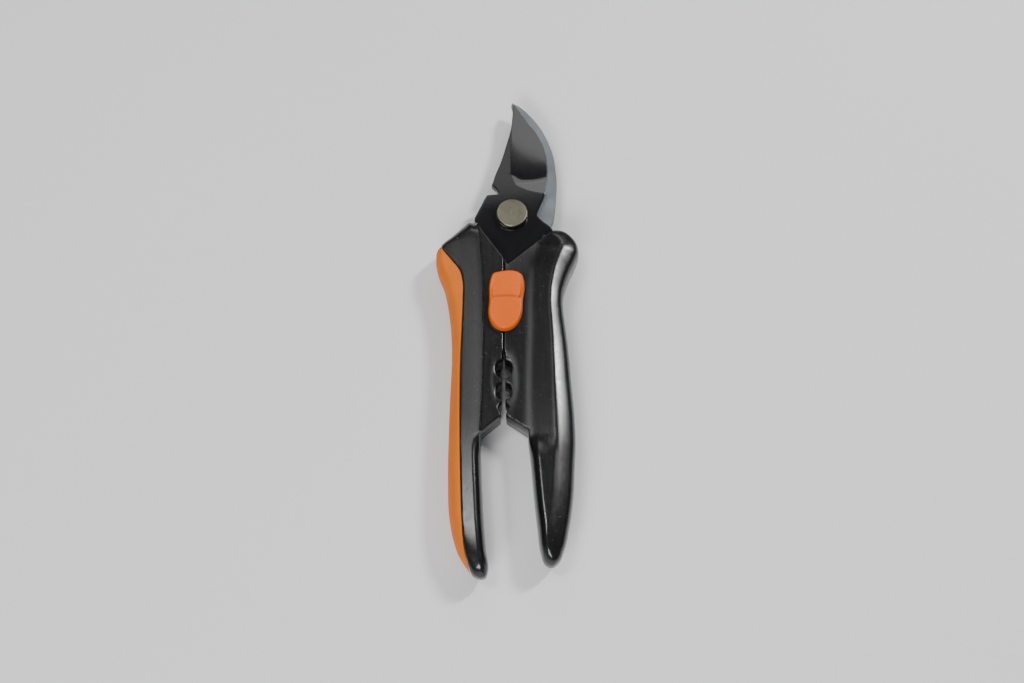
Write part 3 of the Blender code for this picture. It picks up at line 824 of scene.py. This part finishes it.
blade = relief("cutting_blade", CUTTING_BLADE, blade_face, PARTING, spacing=0.8,
               guides=[grind_line] + rings(grind_area, (0.25, 0.6, 1.1, 1.7, 2.4)))
drill(blade, ((12.5, -38.0), (12.7, -64.0)))
finish_piece(blade, "blade_side", ["cutting_blade"], blade_coat, crease=28)


def hook_face(points, edge):
    return -PARTING - eased(edge, 0.16)


def hook_back_face(points, edge):
    to_inner = distance(hook_inner, points, closed=False)
    ground = np.clip(1 - to_inner / HOOK_GRIND_WIDTH, 0, 1)
    return HOOK_BACK + np.maximum(eased(edge, 0.42), HOOK_GRIND_DEPTH * ground)


hook = relief("hook_blade", HOOK_BLADE, hook_face, 0.0, spacing=0.8, bottom=hook_back_face,
              guides=rings(smooth_line(HOOK_BLADE, 0.8), (1.2, 2.0, HOOK_GRIND_WIDTH)))
drill(hook, ((-14.9, -38.0), (-14.9, -64.0)))
finish_piece(hook, "hook_side", ["hook_blade"], hook_steel, crease=28)

# ---------------------------------------------------------------- pivot

HEAD_HEIGHT = 2.1
head_low, head_high = BLADE_TOP + GAP, BLADE_TOP + GAP + HEAD_HEIGHT
profile = [(0.0, head_high - 0.12), (0.5, head_high - 0.10)]
for k in range(9):
    radius = 0.85 + 0.5 * k
    profile += [(radius, head_high - 0.02), (radius + 0.25, head_high - 0.07)]
profile += [
    (5.3, head_high), (5.55, head_high - 0.03), (5.8, head_high - 0.16), (5.95, head_high - 0.36),
    (6.0, head_high - 0.6), (6.0, head_low + 0.15), (5.85, head_low), (3.0, head_low),
    (3.0, -7.4), (2.6, -7.9), (0.0, -7.9),
]
bolt = turned("pivot_bolt", profile, sides=96)
finish_piece(bolt, "hook_side", ["pivot_bolt"], bolt_steel, crease=50)

washer = turned("pivot_washer", [
    (3.3, -3.5), (3.4, -3.45), (5.5, -3.45), (5.6, -3.55), (5.6, -4.15), (5.5, -4.25),
    (3.4, -4.25), (3.3, -4.2)])
finish_piece(washer, "hook_side", ["pivot_washer"], bright_steel, crease=50)

nut = turned("pivot_nut", [
    (3.3, -4.7), (3.45, -4.55), (5.8, -4.55), (5.8, -6.95), (5.1, -7.4), (3.6, -7.4),
    (3.3, -7.1)], sides=96)
flats = []
for k in range(6):
    turn = math.radians(60 * k + 30)
    cutter = block((4.95, 9.0), (-8, 8), (-12, 0))
    cutter.data.transform(
        Matrix.Translation(PIVOT) @ Matrix.Rotation(turn, 4, "Z") @ Matrix.Translation(-PIVOT))
    flats.append(cutter)
cut(nut, flats)
finish_piece(nut, "hook_side", ["pivot_nut"], dark_steel, crease=40)

# ---------------------------------------------------------------- screws and pins

for side, places in SCREWS.items():
    for number, place in enumerate(places, 1):
        name = f"{side}_screw_{number}"
        screw = turned(name, [
            (0.0, 4.2), (0.6, 4.2), (1.1, 3.4), (1.1, -5.7), (1.9, -5.75), (2.15, -5.95),
            (2.2, -6.3), (2.1, -6.8), (1.8, -7.15), (1.3, -7.35), (0.0, -7.4)], place, sides=40)
        slots = []
        for turn in (25.0, 115.0):
            cutter = block((-1.35, 1.35), (-0.28, 0.28), (-9.0, -6.55))
            centre = PIVOT + Vector((*place, 0)) * MM
            cutter.data.transform(
                Matrix.Translation(centre) @ Matrix.Rotation(math.radians(turn), 4, "Z")
                @ Matrix.Translation(-PIVOT))
            slots.append(cutter)
        for cutter in slots:
            cut(screw, [cutter])
        finish_piece(screw, f"{side}_side", [name], screw_steel, crease=40)

for name in ("hook_tang_pin_1", "hook_tang_pin_2", "blade_tang_pin_1", "blade_tang_pin_2",
             "catch_pin", "lock_latch"):
    node = frame["nodes"][name]
    node.data.materials.clear()
    node.data.materials.append(dark_steel if name == "lock_latch" else bright_steel)
    ease = node.modifiers.new("eased_edges", "BEVEL")
    ease.width = 0.00015
    ease.segments = 2
    ease.limit_method = "ANGLE"

# ---------------------------------------------------------------- return spring

turns, per_turn, wire = 8, 28, 0.45
first, last, radius = -11.2 + wire, 8.2 - wire, 2.85
coil = bpy.data.curves.new("return_spring", "CURVE")
coil.dimensions = "3D"
coil.bevel_depth = wire * MM
coil.bevel_resolution = 3
coil.use_fill_caps = True
path = coil.splines.new("POLY")
path.points.add(turns * per_turn)
flat_pitch = 2 * wire + 0.1
for i in range(turns * per_turn + 1):
    turn = i / per_turn
    inner = min(max(turn - 1.0, 0.0), turns - 2.0)
    x = first + (turn - inner) * flat_pitch
    x += inner / (turns - 2.0) * (last - first - 2 * flat_pitch)
    angle = 2 * math.pi * turn
    point = Vector((x, SPRING_Y + radius * math.cos(angle), radius * math.sin(angle)))
    path.points[i].co = (*(PIVOT + point * MM), 1.0)
spring = make_object("spring_curve", coil)
bpy.context.view_layer.update()
mesh = bpy.data.meshes.new_from_object(
    spring.evaluated_get(bpy.context.evaluated_depsgraph_get()))
bpy.data.objects.remove(spring)
spring = make_object("return_spring_coil", mesh)
work = bmesh.new()
work.from_mesh(mesh)
bmesh.ops.remove_doubles(work, verts=work.verts, dist=1e-6)
work.to_mesh(mesh)
work.free()
mesh.materials.append(bright_steel)
mesh.shade_smooth()
mesh.set_sharp_from_angle(angle=math.radians(50))
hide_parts("return_spring")
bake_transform(spring)

# ---------------------------------------------------------------- thumb lock

PAD_STEP = 0.45
PAD_ROUND = 1.1           # radius of the pad's rounded edge
PAD_RIM = (0.6, 0.9)      # the dish starts this far in and is full over this width
DISH_LENGTH = 9.8
DISH_DEPTH = 1.25
LIP_HEIGHT = 0.14
LEDGE_ROWS = (-1.6, -1.1, -0.7, -0.35, 0.0, 0.27, 0.54, 0.9)

ledge = smooth_line(PAD_LEDGE, 0.4, closed=False)


def pad_height(points, edge):
    """A thumb pad: the far half is dished down to a ledge, the near half stands full."""
    low, high = PAD_HEIGHTS
    crown = rounded(edge, PAD_ROUND, low + 0.6, high)
    arch = np.interp(points[:, 0], ledge[:, 0], ledge[:, 1])
    past = points[:, 1] - arch
    within = np.clip((edge - PAD_RIM[0]) / PAD_RIM[1], 0, 1)
    rise = (1 - np.clip(past / DISH_LENGTH, 0, 1)) ** 1.2
    ramp = DISH_DEPTH * rise * smooth_step(past / 0.4) * within
    lip = LIP_HEIGHT * np.exp(-((past + 0.55) / 0.4) ** 2) * within
    sag = 0.12 * within * np.clip((edge - 1.0) / 3.0, 0, 1)
    return crown - ramp - LIP_HEIGHT * within - sag + lip


for name, is_front in (("lock_pad_front", True), ("lock_pad_back", False)):
    rows = [ledge + (0, shift) for shift in LEDGE_ROWS]
    pad = relief(name, THUMB_PAD, pad_height, PAD_HEIGHTS[0], spacing=0.55, step=PAD_STEP,
                 guides=rows + rings(smooth_line(THUMB_PAD, PAD_STEP), (0.6, 0.85, 1.15, 1.5)),
                 flip=not is_front)
    seat = (4.0, 6.6) if is_front else (-6.6, -4.0)
    cut(pad, [block((-1.3, 2.8), (-41.3, -32.9), seat)])
    finish_piece(pad, "lock_slider", [name], orange_lock)

# ---------------------------------------------------------------- stage, lights and camera

floor_mesh = bpy.data.meshes.new("floor")
floor_mesh.from_pydata([(-3, -3, 0), (3, -3, 0), (3, 3, 0), (-3, 3, 0)], [], [(0, 1, 2, 3)])
floor = make_object("floor", floor_mesh)
paper = Nodes("pale_floor")
paper.shade(Base_Color=paper.mix(paper.noise(3.0), (0.66, 0.66, 0.67), (0.72, 0.72, 0.73)),
            Roughness=0.75)
floor_mesh.materials.append(paper.material)

world = bpy.data.worlds.new("studio")
bpy.context.scene.world = world
world.use_nodes = True
sky = world.node_tree.nodes["Background"]
sky.inputs["Color"].default_value = (0.86, 0.90, 1.0, 1.0)
sky.inputs["Strength"].default_value = 0.09

centre = PIVOT + Vector((0.0, -0.05114, 0.0))


def softbox(name, position, target, size, power):
    """A rectangular light, placed and aimed in metres from the tool's middle."""
    light = bpy.data.lights.new(name, "AREA")
    light.shape = "RECTANGLE"
    light.size, light.size_y = size
    light.energy = power
    item = bpy.data.objects.new(name, light)
    item.location = centre + Vector(position)
    item.rotation_euler = (Vector(target) - Vector(position)).to_track_quat("-Z", "Y").to_euler()
    bpy.context.scene.collection.objects.link(item)


softbox("back_bank", (0.05, 1.167, 0.876), (0, 0.05, 0), (1.1, 0.47), 4.0)
softbox("back_low", (0.27, 0.934, 1.110), (0, 0.05, 0), (0.32, 0.200), 0.47)
softbox("back_dim", (-0.10, 0.86, 1.22), (0, 0.05, 0), (0.42, 0.18), 0.26)
softbox("left_panel", (-0.31, 0.385, 0.92), (0, 0.02, 0), (0.16, 0.26), 0.36)
softbox("left_low", (-0.31, 0.06, 0.92), (0, 0, 0), (0.16, 0.27), 3.0)
softbox("right_strip", (0.60, 0.40, 0.79), (0, 0, 0), (0.08, 0.20), 8.5)
softbox("near_fill", (-0.35, -1.1, 0.9), (0, 0, 0), (0.9, 0.5), 22.0)

TILT = math.radians(22.0)
DISTANCE = 0.3671
FOCAL_MM = 35.16
camera = bpy.data.cameras.new("camera")
camera.lens = FOCAL_MM
camera.sensor_width = 36.0
camera.clip_start = 0.01
eye = bpy.data.objects.new("camera", camera)
eye.location = centre + Vector((0, -math.sin(TILT), math.cos(TILT))) * DISTANCE
eye.rotation_euler = (TILT, 0, 0)
bpy.context.scene.collection.objects.link(eye)
bpy.context.scene.camera = eye
